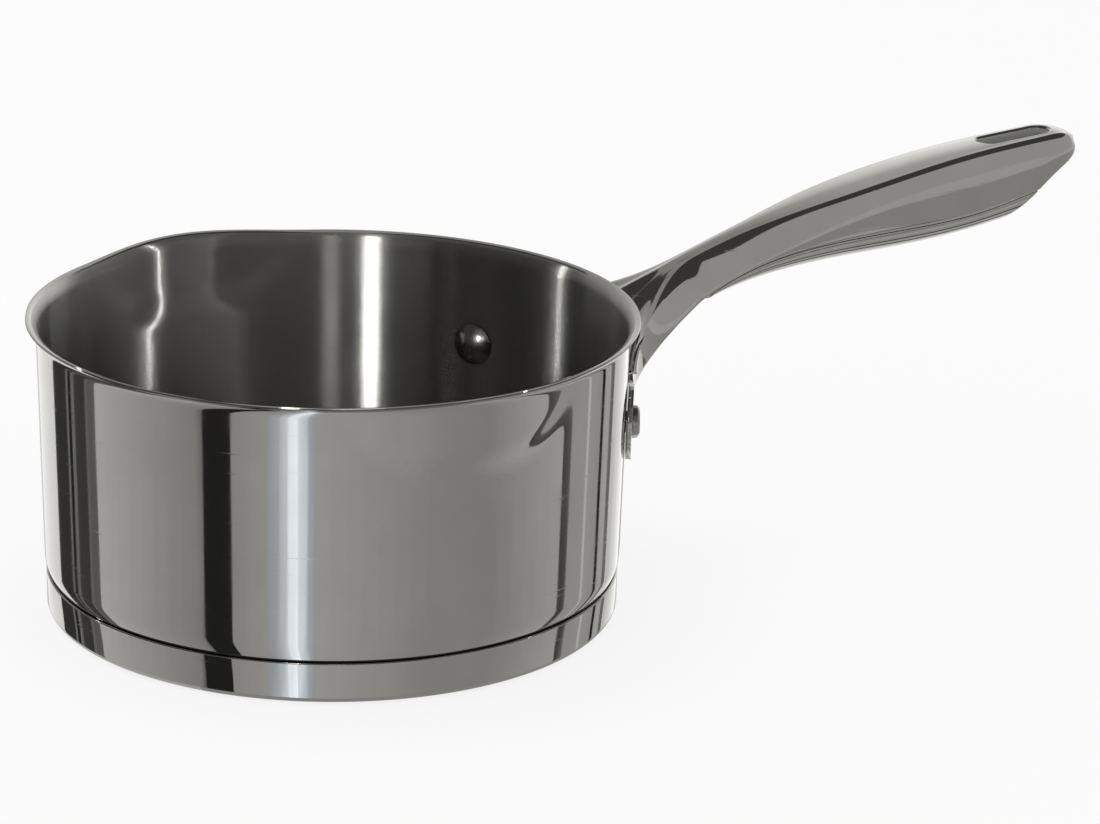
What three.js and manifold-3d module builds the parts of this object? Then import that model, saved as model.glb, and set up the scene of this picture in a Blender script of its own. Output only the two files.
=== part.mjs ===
// A 16 cm saucepan of stainless steel with a capsule base and a hollow riveted handle.
// Millimetres, +Z up. The origin is the middle of the underside and the handle points along +X.
import * as THREE from 'three';
import { mergeVertices } from 'three/addons/utils/BufferGeometryUtils.js';
import Module from 'manifold-3d';

const wasm = await Module();
wasm.setup();

// The drawn pan: the draft is how much its wall narrows from top to foot
const INNER_DIAMETER = 160;
const PAN_HEIGHT = 82.7;
const SHEET = 0.7;
const DRAFT = 1.35;
const FLOOR_UNDERSIDE = 6.2;
const CORNER_RADIUS = 10;
const LIP_RADIUS = 3.3;
const LIP_TURN = 86;

// The two pouring spouts pressed into the lip, at an angle to each side of the handle.
// Each is a shallow pocket whose foot is a short step, lowest along the spout's middle.
const SPOUT_ANGLE = 93;
const SPOUT_HALF_ANGLE = 27;
const SPOUT_REACH = 2.9;
const SPOUT_LIFT = 1.1;
const SPOUT_DEPTH = 19;
const SPOUT_STEP = 11;

// The capsule base, and the gap left between pieces pressed together
const CAP_HEIGHT = 11.3;
const CAP_SHEET = 0.6;
const CAP_EDGE_RADIUS = 2.5;
const FIT = 0.25;

// The rivets: the drop is measured from the top of the lip
const RIVET_ANGLE = 30.5;
const RIVET_DROP = 30.2;
const SHANK_RADIUS = 3;
const INNER_HEAD_RADIUS = 6;
const INNER_HEAD_HEIGHT = 2.5;
const OUTER_HEAD_RADIUS = 4.6;
const OUTER_HEAD_HEIGHT = 1.9;
const OUTER_HEAD_BEVEL = 0.6;
const HOLE_CLEARANCE = 0.2;

// The handle's two pressed shells: the length runs from the wall to the tip
const HANDLE_LENGTH = 173.3;
const HANDLE_SHEET = 1.5;
const BELLY_SHEET = 1.2;
const BELLY_SETBACK = 3;
const TIP_ROUND = 10;
const TIP_DROP = 12;
const CROWN = 0.6;
const SIDE_BULGE = 0.4;

// Lines of the handle at shares of its length, as heights above the lip
const NECK = 0.204;
const SEAM_END = [0.896, 7.3];
const CREST = [[0, -10.4], [0.215, 2.4], [0.388, 10.8], [0.579, 17.5], [0.769, 22], [0.931, 23.9]];
const SEAM = [
  [0.181, -12.5], [0.244, -7.3], [0.319, -2.9], [0.452, 0.7], [0.642, 2], [0.769, 3.5], SEAM_END,
];
const BELLY = [[0.181, -13.3], [0.319, -8.8], [0.458, -6.4], [0.642, -5.3], [0.769, -3.5], [0.896, -0.7]];
const END_CUT = [[0.815, -3.3], SEAM_END, [0.948, 13.5], [1, 17.7]];

// Half widths of the handle at shares of its length
const FLAT_HALF = [[0.181, 2], [0.319, 3.2], [0.458, 6], [0.602, 7], [0.769, 6.5], [0.931, 5.6]];
const SHOULDER = [[0.181, 3.1], [0.319, 2.6], [0.458, 2.1], [0.602, 2.1], [0.931, 2.1]];
const SEAM_HALF = [[0.181, 7.8], [0.319, 8.2], [0.458, 9.4], [0.602, 10], [0.769, 9.7], [0.931, 8.4]];

// The arms and the round ears: the arm's edges are heights above the rivet
const EAR_RADIUS = 10.5;
const ARM_INSET = 3.5;
const ARM_LOW_EDGE = 2.5;
const ARM_HIGH_EDGE = 12;
const ARM_SLOPE = 0.3;
const ARM_REACH = 15;
const ARM_LIFT = 0.8;
const ARM_SPREAD = 3.5;

// The hanging slot
const SLOT_FROM_TIP = 22.5;
const SLOT_LENGTH = 26;
const SLOT_WIDTH = 8.4;
const SLOT_COLLAR = 5;

// Facets
const ROUND_STEPS = 72;
const WALL_STEPS = 8;
const RIVET_STEPS = 24;
const SIDE_STEPS = 4;
const SHOULDER_STEPS = 4;
const TOP_STEPS = 3;
const ARM_STEPS = 7;
const EAR_STEPS = 3;
const GRIP_STEPS = 12;
const TIP_STEPS = 5;
const BELLY_STEPS = 3;
const BELLY_COLUMNS = 6;

const { clamp, degToRad: rad, lerp, radToDeg, smoothstep } = THREE.MathUtils;
const innerRadius = INNER_DIAMETER / 2;
const topRadius = innerRadius + SHEET;
const wallTop = PAN_HEIGHT - SHEET - LIP_RADIUS;
const wallFoot = FLOOR_UNDERSIDE + CORNER_RADIUS;
const rivetHeight = PAN_HEIGHT - RIVET_DROP;

// Outside radius of the wall at a height
function wallRadius(z) {
  return topRadius - DRAFT * (wallTop - z) / (wallTop - wallFoot);
}

// Arc points from one angle to another, in degrees
function arc(cx, cy, r, from, to, steps) {
  return Array.from({ length: steps + 1 }, (_, i) => {
    const a = rad(lerp(from, to, i / steps));
    return [cx + r * Math.cos(a), cy + r * Math.sin(a)];
  });
}

// Triangles of an index list that have three different corners
function trueFaces(index) {
  const faces = [];
  for (let i = 0; i < index.length; i += 3) {
    const [a, b, c] = index.slice(i, i + 3);
    if (a !== b && b !== c && c !== a) faces.push([a, b, c]);
  }
  return faces;
}

// Clean indexed geometry with its faces turned outward
function closed(geometry) {
  geometry.deleteAttribute('normal');
  geometry.deleteAttribute('uv');
  const merged = mergeVertices(geometry, 1e-4);
  const p = merged.getAttribute('position');
  const faces = trueFaces(merged.index.array);
  const at = (i) => new THREE.Vector3().fromBufferAttribute(p, i);
  const volume = faces.reduce((sum, [a, b, c]) => sum + at(a).dot(at(b).cross(at(c))), 0);
  merged.setIndex(faces.flatMap(([a, b, c]) => (volume > 0 ? [a, b, c] : [a, c, b])));
  return merged;
}

function toManifold(geometry) {
  return new wasm.Manifold(new wasm.Mesh({
    numProp: 3,
    vertProperties: new Float32Array(geometry.getAttribute('position').array),
    triVerts: new Uint32Array(geometry.index.array),
  }));
}

function toGeometry(manifold) {
  const mesh = manifold.getMesh();
  const geometry = new THREE.BufferGeometry();
  geometry.setAttribute('position', new THREE.BufferAttribute(new Float32Array(mesh.vertProperties), 3));
  geometry.setIndex(Array.from(mesh.triVerts));
  return geometry;
}

// A turned solid about +Z from its half section
function turned(profile, steps) {
  const points = profile.map(([r, z]) => new THREE.Vector2(r, z));
  return closed(new THREE.LatheGeometry(points, steps).rotateX(Math.PI / 2));
}

// Places a solid turned about +Z so that its axis runs outward at a rivet
function atRivet(geometry, side) {
  geometry.rotateY(Math.PI / 2);
  geometry.translate(0, 0, rivetHeight);
  return geometry.rotateZ(rad(RIVET_ANGLE * side));
}

// Cuts the two rivet holes
function drilled(solid) {
  const r = SHANK_RADIUS + HOLE_CLEARANCE;
  const near = wallRadius(rivetHeight) - CORNER_RADIUS;
  const far = wallRadius(rivetHeight) + CORNER_RADIUS;
  const holes = [-1, 1].map((side) => {
    const drill = turned([[0, near], [r, near], [r, far], [0, far]], RIVET_STEPS);
    return toManifold(atRivet(drill, side));
  });
  return holes.reduce((rest, hole) => rest.subtract(hole), solid);
}

// How far an angle is from a spout's middle, from 0 there to 1 at its sides and beyond
function offSpout(angle) {
  return Math.min(Math.abs(Math.abs(angle) - rad(SPOUT_ANGLE)) / rad(SPOUT_HALF_ANGLE), 1);
}

function pressSpouts(geometry) {
  const p = geometry.getAttribute('position');
  for (let i = 0; i < p.count; i++) {
    const x = p.getX(i);
    const y = p.getY(i);
    const z = p.getZ(i);
    const r = Math.hypot(x, y);
    const off = offSpout(Math.atan2(y, x));
    const step = PAN_HEIGHT - SPOUT_DEPTH * (1 - off ** 3);
    const rise = smoothstep(z, step - SPOUT_STEP / 2, step + SPOUT_STEP / 2);
    const push = Math.cos(off * Math.PI / 2) ** 2 * rise;
    const late = smoothstep(z, PAN_HEIGHT - SPOUT_DEPTH, PAN_HEIGHT) ** 4;
    const k = r > 0 ? (r + SPOUT_REACH * push) / r : 1;
    p.setXYZ(i, x * k, y * k, z + SPOUT_LIFT * push * late);
  }
  return geometry;
}

const cornerCentre = wallRadius(wallFoot) - CORNER_RADIUS;

function panBody() {
  const lipCentre = topRadius + LIP_RADIUS;
  const spoutFoot = PAN_HEIGHT - SPOUT_DEPTH - SPOUT_STEP / 2;
  const pressed = Array.from({ length: WALL_STEPS }, (_, i) => lerp(spoutFoot, wallTop, i / WALL_STEPS));
  const outside = [
    [0, FLOOR_UNDERSIDE],
    ...arc(cornerCentre, wallFoot, CORNER_RADIUS, -90, 0, 5),
    ...pressed.map((z) => [wallRadius(z), z]),
    ...arc(lipCentre, wallTop, LIP_RADIUS, 180, 180 - LIP_TURN, 4),
  ];
  const inside = [
    ...arc(lipCentre, wallTop, LIP_RADIUS + SHEET, 180 - LIP_TURN, 180, 4),
    ...pressed.map((z) => [wallRadius(z) - SHEET, z]).reverse(),
    ...arc(cornerCentre, wallFoot, CORNER_RADIUS - SHEET, 0, -90, 5),
    [0, FLOOR_UNDERSIDE + SHEET],
  ];
  const body = pressSpouts(turned([...outside, ...inside], ROUND_STEPS));
  return toGeometry(drilled(toManifold(body)));
}

// The disc fills the capsule up to the pan's rounded corner, where the cap's edge meets it
const discRadius = cornerCentre + Math.sqrt(CORNER_RADIUS ** 2 - (wallFoot - CAP_HEIGHT) ** 2);
const capRadius = discRadius + FIT + CAP_SHEET;

function baseCap() {
  const flat = capRadius - CAP_EDGE_RADIUS;
  return turned([
    [0, 0],
    ...arc(flat, CAP_EDGE_RADIUS, CAP_EDGE_RADIUS, -90, 0, 4),
    [capRadius, CAP_HEIGHT],
    [capRadius - CAP_SHEET, CAP_HEIGHT],
    ...arc(flat, CAP_EDGE_RADIUS, CAP_EDGE_RADIUS - CAP_SHEET, 0, -90, 4),
    [0, CAP_SHEET],
  ], ROUND_STEPS);
}

function baseCore() {
  const flat = discRadius - CAP_EDGE_RADIUS;
  const under = CAP_SHEET + FIT;
  const seat = CORNER_RADIUS + FIT;
  const rimAngle = -radToDeg(Math.acos((discRadius - cornerCentre) / seat));
  return turned([
    [0, under],
    [flat, under],
    [discRadius, under + CAP_EDGE_RADIUS],
    ...arc(cornerCentre, wallFoot, seat, rimAngle, -90, 4),
    [0, FLOOR_UNDERSIDE - FIT],
  ], ROUND_STEPS);
}

// Outside face of an ear, measured from the pan's axis
function earRadius(z) {
  return wallRadius(z) + FIT + HANDLE_SHEET;
}

function rivet(side) {
  const seat = wallRadius(rivetHeight) - SHEET;
  const innerFace = Math.sqrt(seat ** 2 - INNER_HEAD_RADIUS ** 2) - FIT;
  const outerFace = earRadius(rivetHeight) + HOLE_CLEARANCE / 2;
  const end = outerFace + OUTER_HEAD_HEIGHT;
  const dome = (INNER_HEAD_RADIUS ** 2 + INNER_HEAD_HEIGHT ** 2) / (2 * INNER_HEAD_HEIGHT);
  const spread = radToDeg(Math.asin(INNER_HEAD_RADIUS / dome));
  return atRivet(turned([
    ...arc(0, innerFace - INNER_HEAD_HEIGHT + dome, dome, -90, spread - 90, 5),
    [SHANK_RADIUS, innerFace],
    [SHANK_RADIUS, outerFace],
    [OUTER_HEAD_RADIUS, outerFace],
    [OUTER_HEAD_RADIUS - OUTER_HEAD_BEVEL / 3, end - OUTER_HEAD_BEVEL],
    [OUTER_HEAD_RADIUS - OUTER_HEAD_BEVEL * 1.5, end],
    [0, end],
  ], RIVET_STEPS), side);
}

// Distance from the pan's axis at a share of the handle's length
function handleX(share) {
  return topRadius + share * HANDLE_LENGTH;
}

// Reads a smooth line through a few stations at any distance from the axis
function along(stations, level) {
  const points = stations.map(([share, value]) => new THREE.Vector2(handleX(share), level + value));
  const curve = new THREE.SplineCurve(points);
  return (x) => {
    let low = 0;
    let high = 1;
    for (let i = 0; i < 40; i++) {
      const middle = (low + high) / 2;
      if (curve.getPoint(middle).x < x) low = middle;
      else high = middle;
    }
    const at = curve.getPoint(low);
    const slope = curve.getTangent(low);
    return at.y + (x - at.x) * slope.y / slope.x;
  };
}

const crest = along(CREST, PAN_HEIGHT);
const seam = along(SEAM, PAN_HEIGHT);
const belly = along(BELLY, PAN_HEIGHT);
const endCut = along(END_CUT, PAN_HEIGHT);
const flatHalf = along(FLAT_HALF, 0);
const shoulder = along(SHOULDER, 0);
const seamHalf = along(SEAM_HALF, 0);

const neckX = handleX(NECK);
const tipX = handleX(1);
const gripEnd = tipX - TIP_ROUND;
const seamEnd = handleX(SEAM_END[0]);
const cutStart = handleX(END_CUT[0][0]);
const slotX = tipX - SLOT_FROM_TIP;
const columns = SIDE_STEPS + SHOULDER_STEPS + TOP_STEPS;

// Sections of the grip, set closer together near the neck and the tip
const gripStations = Array.from({ length: GRIP_STEPS + 1 }, (_, i) => {
  const t = i / GRIP_STEPS;
  return lerp(neckX, gripEnd, t - Math.sin(2 * Math.PI * t) / (4 * Math.PI));
});

// Lower edge of the upper shell: the seam, then the end cut up to the tip
function lowerEdge(x) {
  const edge = seam(Math.min(x, seamEnd));
  return x > cutStart ? Math.max(edge, endCut(x)) : edge;
}

// Quarter-round fall from 1 to 0 over a length before the tip
function tipFall(x, length) {
  const t = clamp((x - tipX + length) / length, 0, 1);
  return Math.sqrt(1 - t * t);
}

// Half of the upper shell's section, from its lower edge to its crest
function halfSection(x) {
  const k = tipFall(x, TIP_ROUND);
  const top = lerp(lowerEdge(tipX), crest(x), tipFall(x, TIP_DROP));
  const low = Math.min(lowerEdge(x), top);
  const flat = flatHalf(x) * k;
  const wide = flat + shoulder(x) * k;
  const edge = top - Math.min(CROWN, (top - low) * 0.1);
  const corner = Math.min(shoulder(x), (top - low) * 0.6);
  const foot = new THREE.Vector2(seamHalf(x) * k, low);
  const knee = new THREE.Vector2(wide, Math.max(edge - corner, low));
  const bulge = foot.clone().add(knee).divideScalar(2);
  bulge.x += 2 * SIDE_BULGE * k;
  // The shoulder carries on from the slope of the side
  const lean = knee.y > bulge.y ? (knee.x - bulge.x) / (knee.y - bulge.y) : 0;
  const over = clamp(wide + lean * (edge - knee.y), flat, wide);
  const turn = [knee, new THREE.Vector2(over, edge), new THREE.Vector2(flat, edge)];
  const points = [
    ...new THREE.QuadraticBezierCurve(foot, bulge, knee).getPoints(SIDE_STEPS),
    ...new THREE.QuadraticBezierCurve(...turn).getPoints(SHOULDER_STEPS).slice(1),
  ];
  for (let i = 1; i <= TOP_STEPS; i++) {
    const f = 1 - i / TOP_STEPS;
    points.push(new THREE.Vector2(flat * f, lerp(top, edge, f * f)));
  }
  return points.map((q) => new THREE.Vector3(x, q.x, q.y));
}

// A point held off the pan's wall, at an angle from the handle and a height
function onWall(degrees, z, standoff) {
  const r = wallRadius(z) + standoff;
  return new THREE.Vector3(r * Math.cos(rad(degrees)), r * Math.sin(rad(degrees)), z);
}

const armAngle = RIVET_ANGLE - ARM_INSET;

// Height of the arm's root on the wall, from its lower edge to its upper edge
function armHeight(share) {
  return rivetHeight + lerp(ARM_LOW_EDGE, ARM_HIGH_EDGE, share);
}

// Where column j of the shell meets the wall, and the way it leaves it toward the neck
function armRoot(j) {
  const a = rad(armAngle);
  const leave = new THREE.Vector3(Math.sin(a), -Math.cos(a), ARM_SLOPE).normalize();
  if (j <= SIDE_STEPS) return { at: onWall(armAngle, armHeight(j / SIDE_STEPS), FIT + HANDLE_SHEET), leave };
  const f = (j - SIDE_STEPS) / (columns - SIDE_STEPS);
  const z = lerp(armHeight(1), crest(topRadius), f ** 3);
  const ridge = new THREE.Vector3(1, 0, crest(topRadius + 1) - crest(topRadius));
  leave.lerp(ridge, f).normalize();
  return { at: onWall(armAngle * (1 - f), z, FIT + HANDLE_SHEET * (1 - f)), leave };
}

// Outside of one half of the upper shell as rows of points, from the wall to the tip
function upperRows() {
  const neck = halfSection(neckX);
  const beyond = halfSection(neckX + 2);
  const arms = neck.map((end, j) => {
    const { at, leave } = armRoot(j);
    const back = end.clone().sub(beyond[j]).normalize();
    const share = Math.max(0, 1 - j / (SIDE_STEPS + SHOULDER_STEPS));
    const second = at.clone().addScaledVector(leave, ARM_REACH);
    second.addScaledVector(new THREE.Vector3(at.x, at.y, 0).normalize(), ARM_LIFT * share);
    const third = end.clone().addScaledVector(back, ARM_REACH);
    third.y += ARM_SPREAD * share;
    return new THREE.CubicBezierCurve3(at, second, third, end);
  });
  const rows = [];
  for (let i = 0; i < ARM_STEPS; i++) rows.push(arms.map((arm) => arm.getPoint(i / ARM_STEPS)));
  rows.push(...gripStations.map(halfSection));
  for (let i = 1; i <= TIP_STEPS; i++) {
    rows.push(halfSection(gripEnd + TIP_ROUND * Math.sin(i / TIP_STEPS * Math.PI / 2)));
  }
  return rows;
}

// The round ear beyond the arm, as rows of points that end on the arm's root
function earRows() {
  const rows = [];
  for (let i = 0; i < EAR_STEPS; i++) {
    const t = i / EAR_STEPS;
    const row = [];
    for (let j = 0; j <= SIDE_STEPS; j++) {
      const turn = Math.PI * (j / SIDE_STEPS - 0.5);
      const roundAngle = RIVET_ANGLE + radToDeg(EAR_RADIUS * Math.cos(turn) / earRadius(rivetHeight));
      const roundHeight = rivetHeight + EAR_RADIUS * Math.sin(turn);
      const z = lerp(roundHeight, armHeight(j / SIDE_STEPS), j === 0 ? t * t : t);
      row.push(onWall(lerp(roundAngle, armAngle, t), z, FIT + HANDLE_SHEET));
    }
    rows.push(row);
  }
  return rows;
}

// Quads between rows of points, and their mirror across the handle's middle plane
function quadsOf(rows) {
  const quads = [];
  const flip = (q) => new THREE.Vector3(q.x, -q.y, q.z);
  for (let i = 0; i + 1 < rows.length; i++) {
    for (let j = 0; j + 1 < rows[i].length; j++) {
      const [a, b, c, d] = [rows[i][j], rows[i + 1][j], rows[i + 1][j + 1], rows[i][j + 1]];
      quads.push([d, c, b, a], [flip(a), flip(b), flip(c), flip(d)]);
    }
  }
  return quads;
}

// A sheet solid: the outside faces, the same faces set in by the sheet, and the edges between them
function sheet(quads, thickness) {
  const raw = new THREE.BufferGeometry();
  raw.setFromPoints(quads.flatMap(([a, b, c, d]) => [a, b, c, a, c, d]));
  const outer = mergeVertices(raw, 1e-4);
  const skin = trueFaces(outer.index.array);
  outer.setIndex(skin.flat());
  outer.computeVertexNormals();
  const p = outer.getAttribute('position');
  const n = outer.getAttribute('normal');
  const edges = new Set();
  const faces = [];
  for (const [a, b, c] of skin) {
    faces.push(a, b, c, a + p.count, c + p.count, b + p.count);
    for (const [s, e] of [[a, b], [b, c], [c, a]]) edges.add(`${s} ${e}`);
  }
  const open = new Set();
  for (const edge of edges) {
    const [s, e] = edge.split(' ').map(Number);
    if (edges.has(`${e} ${s}`)) continue;
    faces.push(s, s + p.count, e, e, s + p.count, e + p.count);
    open.add(s).add(e);
  }
  const points = [];
  for (let i = 0; i < p.count; i++) points.push(new THREE.Vector3().fromBufferAttribute(p, i));
  for (let i = 0; i < p.count; i++) {
    const outward = new THREE.Vector3().fromBufferAttribute(n, i);
    // The open edge of an upright face is cut level
    if (open.has(i) && Math.abs(outward.z) < 0.6) outward.setZ(0).normalize();
    points.push(points[i].clone().addScaledVector(outward, -thickness));
  }
  const solid = new THREE.BufferGeometry().setFromPoints(points);
  solid.setIndex(faces);
  return closed(solid);
}

// An upright block with round ends, centred on the slot
function slotBlock(width, from, to) {
  const half = (SLOT_LENGTH - SLOT_WIDTH) / 2;
  const shape = new THREE.Shape();
  shape.absarc(half, 0, width / 2, -Math.PI / 2, Math.PI / 2, false);
  shape.absarc(-half, 0, width / 2, Math.PI / 2, Math.PI * 1.5, false);
  shape.closePath();
  const upright = { depth: to - from, bevelEnabled: false, curveSegments: 8 };
  const block = new THREE.ExtrudeGeometry(shape, upright);
  return toManifold(closed(block.translate(slotX, 0, from)));
}

function handleUpper() {
  const rows = upperRows();
  const ear = [...earRows(), rows[0].slice(0, SIDE_STEPS + 1)];
  const shell = toManifold(sheet([...quadsOf(rows), ...quadsOf(ear)], HANDLE_SHEET));
  const top = crest(slotX);
  const collar = slotBlock(SLOT_WIDTH + 2 * HANDLE_SHEET, top - SLOT_COLLAR, top - HANDLE_SHEET * 0.8);
  const slot = slotBlock(SLOT_WIDTH, top - 4 * SLOT_COLLAR, top + SLOT_COLLAR);
  return toGeometry(drilled(shell.add(collar).subtract(slot)));
}

// Angle of a belly column round its half-ellipse section
function bellyTurn(j) {
  return Math.PI / 2 * (1 - j / BELLY_COLUMNS);
}

function bellyPoint(x, turn) {
  const edge = seam(x) - FIT;
  return new THREE.Vector3(x, seamHalf(x) * Math.cos(turn), lerp(edge, belly(x), Math.sin(turn)));
}

function handleLower() {
  const start = neckX + BELLY_SETBACK;
  const ends = Array.from({ length: BELLY_COLUMNS + 1 }, (_, j) => {
    let low = cutStart;
    let high = seamEnd;
    for (let i = 0; i < 40; i++) {
      const x = (low + high) / 2;
      if (bellyPoint(x, bellyTurn(j)).z > endCut(x)) low = x;
      else high = x;
    }
    return low;
  });
  const straight = [start, ...gripStations.filter((x) => x > start + 1 && x < cutStart - SLOT_COLLAR)];
  const last = straight.at(-1);
  const rows = straight.map((x) => ends.map((_, j) => bellyPoint(x, bellyTurn(j))));
  for (let i = 1; i <= BELLY_STEPS; i++) {
    rows.push(ends.map((end, j) => bellyPoint(lerp(last, end, i / BELLY_STEPS), bellyTurn(j))));
  }
  return sheet(quadsOf(rows), BELLY_SHEET);
}

const saucepan = new THREE.Group();
saucepan.name = 'saucepan';

function addPiece(name, geometry, color, roughness) {
  geometry.computeVertexNormals();
  const material = new THREE.MeshStandardMaterial({ color, metalness: 1, roughness });
  const mesh = new THREE.Mesh(geometry, material);
  mesh.name = name;
  saucepan.add(mesh);
}

addPiece('pan_body', panBody(), '#c3c4c2', 0.15);
addPiece('base_core', baseCore(), '#a9abad', 0.45);
addPiece('base_cap', baseCap(), '#bfc0be', 0.18);
addPiece('handle_upper', handleUpper(), '#c6c7c4', 0.14);
addPiece('handle_lower', handleLower(), '#bdbebb', 0.16);
addPiece('rivet_left', rivet(1), '#b6b7b4', 0.2);
addPiece('rivet_right', rivet(-1), '#b6b7b4', 0.2);

export default saucepan;
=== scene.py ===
import math
import bmesh
import bpy
import numpy as np
from mathutils import Matrix, Vector


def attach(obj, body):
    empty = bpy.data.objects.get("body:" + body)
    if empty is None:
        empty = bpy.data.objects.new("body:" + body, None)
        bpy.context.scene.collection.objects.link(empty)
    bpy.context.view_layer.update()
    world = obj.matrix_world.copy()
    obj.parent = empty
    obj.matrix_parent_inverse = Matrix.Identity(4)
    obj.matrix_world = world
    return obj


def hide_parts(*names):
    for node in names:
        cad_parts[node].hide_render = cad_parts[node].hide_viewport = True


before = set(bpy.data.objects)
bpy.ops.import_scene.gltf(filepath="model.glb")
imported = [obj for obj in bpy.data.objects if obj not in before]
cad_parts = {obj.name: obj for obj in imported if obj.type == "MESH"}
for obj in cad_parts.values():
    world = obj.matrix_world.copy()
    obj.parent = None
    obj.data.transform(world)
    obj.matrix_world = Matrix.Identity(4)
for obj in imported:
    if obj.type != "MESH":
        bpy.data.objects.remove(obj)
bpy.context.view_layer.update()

# The pan is one disc of stainless sheet, drawn deep, with its lip rolled outward.
# Two pouring spouts are pressed into the lip as shallow pockets, one to each side of the handle.
# Outside it is polished to a mirror, and inside it is brushed round to a satin.
INNER_DIAMETER = 160
PAN_HEIGHT = 82.7
SHEET = 0.7
DRAFT = 1.35
FLOOR_UNDERSIDE = 6.2
CORNER_RADIUS = 10
LIP_RADIUS = 3.3
LIP_TURN = 86
LIP_POLISHED_STEPS = 4
SPOUT_ANGLE = 93
SPOUT_HALF_ANGLE = 27
SPOUT_REACH = 2.9
SPOUT_LIFT = 1.1
SPOUT_DEPTH = 19
SPOUT_STEP = 11
PAN_STEPS = 288
WELD_GAP = 0.005
SMOOTH_BELOW = 32
STEEL = "#adaca9"
STEEL_SMUDGED = "#a3a19c"
SATIN = "#a8a7a4"
SATIN_LINE = "#9c9b97"

top_radius = INNER_DIAMETER / 2 + SHEET
wall_top = PAN_HEIGHT - SHEET - LIP_RADIUS
wall_foot = FLOOR_UNDERSIDE + CORNER_RADIUS


def linear(hex_colour):
    """Linear RGBA of an sRGB hex colour."""
    parts = [int(hex_colour[i:i + 2], 16) / 255 for i in (1, 3, 5)]
    return [c / 12.92 if c <= 0.04045 else ((c + 0.055) / 1.055) ** 2.4 for c in parts] + [1.0]


def add(tree, kind, inputs=None, **settings):
    """Add a node with its settings, and give each input a value or a link."""
    node = tree.nodes.new(kind)
    for name, value in settings.items():
        setattr(node, name, value)
    for socket, value in (inputs or {}).items():
        if isinstance(value, bpy.types.NodeSocket):
            tree.links.new(value, node.inputs[socket])
        else:
            node.inputs[socket].default_value = value
    return node


def new_finish(name):
    """An empty material, its node tree, and its Object coordinates."""
    finish = bpy.data.materials.new(name)
    finish.use_nodes = True
    finish.node_tree.nodes.clear()
    place = add(finish.node_tree, "ShaderNodeTexCoord").outputs["Object"]
    return finish, finish.node_tree, place


def metal_surface(tree, share, light, dark, inputs):
    """Metal that wanders between two colours, as the finish's surface."""
    colour = add(tree, "ShaderNodeMix", {0: share, 6: linear(light), 7: linear(dark)}, data_type="RGBA")
    shine = add(tree, "ShaderNodeBsdfPrincipled", {
        "Base Color": colour.outputs[2], "Metallic": 1.0, **inputs})
    add(tree, "ShaderNodeOutputMaterial", {"Surface": shine.outputs[0]})


# Mirror polished stainless: bright and even, with slow ripples of the buffing wheel that bend
# reflections a little, faint smudges, and hairline scratches drawn wide enough to show.
polished, tree, place = new_finish("stainless_mirror_polished")
ripple = add(tree, "ShaderNodeTexNoise", {"Vector": place, "Scale": 1000 / 26, "Detail": 1.0})
smudge = add(tree, "ShaderNodeTexNoise", {"Vector": place, "Scale": 1000 / 14, "Detail": 5.0})
along_wipe = add(tree, "ShaderNodeMapping", {
    "Vector": place, "Rotation": (0.35, 0.5, 0.2), "Scale": (40, 60, 1400)})
hair = add(tree, "ShaderNodeTexNoise", {"Vector": along_wipe.outputs[0], "Scale": 1.0, "Detail": 2.0})
hairline = add(tree, "ShaderNodeMapRange", {0: hair.outputs["Fac"], 1: 0.66, 2: 0.74, 3: 0.0, 4: 1.0})
gloss = add(tree, "ShaderNodeMapRange", {0: smudge.outputs["Fac"], 1: 0.3, 2: 0.75, 3: 0.035, 4: 0.085})
worn_gloss = add(tree, "ShaderNodeMath", {0: hairline.outputs[0], 1: 0.12, 2: gloss.outputs[0]},
                 operation="MULTIPLY_ADD")
rippled = add(tree, "ShaderNodeBump", {"Strength": 1.0, "Distance": 0.00004, "Height": ripple.outputs["Fac"]})
scratched = add(tree, "ShaderNodeBump", {"Strength": 0.25, "Distance": 0.00002, "Height": hairline.outputs[0],
                                         "Normal": rippled.outputs[0]})
metal_surface(tree, smudge.outputs["Fac"], STEEL, STEEL_SMUDGED, {
    "Roughness": worn_gloss.outputs[0], "Normal": scratched.outputs[0]})

# Satin brushed stainless: grooves run round the wall and in rings on the floor. Their tipped sides
# stretch each light into an upright streak, and coarser lines, drawn at 0.6 mm to show, fray the streaks.
GROOVE_TIP = 0.32
FRAY = 0.6
FRAY_TIP = 0.012
FLAT_SHARE = 0.3
satin, tree, place = new_finish("stainless_satin_brushed")
xyz = add(tree, "ShaderNodeSeparateXYZ", {0: place})
flat_place = add(tree, "ShaderNodeCombineXYZ", {0: xyz.outputs[0], 1: xyz.outputs[1]})
reach = add(tree, "ShaderNodeVectorMath", {0: flat_place.outputs[0]}, operation="LENGTH")
down_wall = add(tree, "ShaderNodeMath", {0: reach.outputs["Value"], 1: xyz.outputs[2]}, operation="ADD")
round_wall = add(tree, "ShaderNodeCombineXYZ", {
    0: xyz.outputs[0], 1: xyz.outputs[1], 2: down_wall.outputs[0]})
brushed_place = add(tree, "ShaderNodeMapping", {
    "Vector": round_wall.outputs[0], "Scale": (60, 60, 1000 / FRAY)})
brushing = add(tree, "ShaderNodeTexNoise", {"Vector": brushed_place.outputs[0], "Scale": 1.0, "Detail": 3.0})
round_way = add(tree, "ShaderNodeVectorMath", {0: (0, 0, 1), 1: flat_place.outputs[0]},
                operation="CROSS_PRODUCT")
round_way = add(tree, "ShaderNodeVectorMath", {0: round_way.outputs[0]}, operation="NORMALIZE")
facing = add(tree, "ShaderNodeNewGeometry").outputs["Normal"]
up_way = add(tree, "ShaderNodeVectorMath", {0: facing, 1: round_way.outputs[0]}, operation="CROSS_PRODUCT")
tip_round = add(tree, "ShaderNodeMath", {0: brushing.outputs["Fac"], 1: FRAY_TIP, 2: -FRAY_TIP / 2},
                operation="MULTIPLY_ADD")
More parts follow.
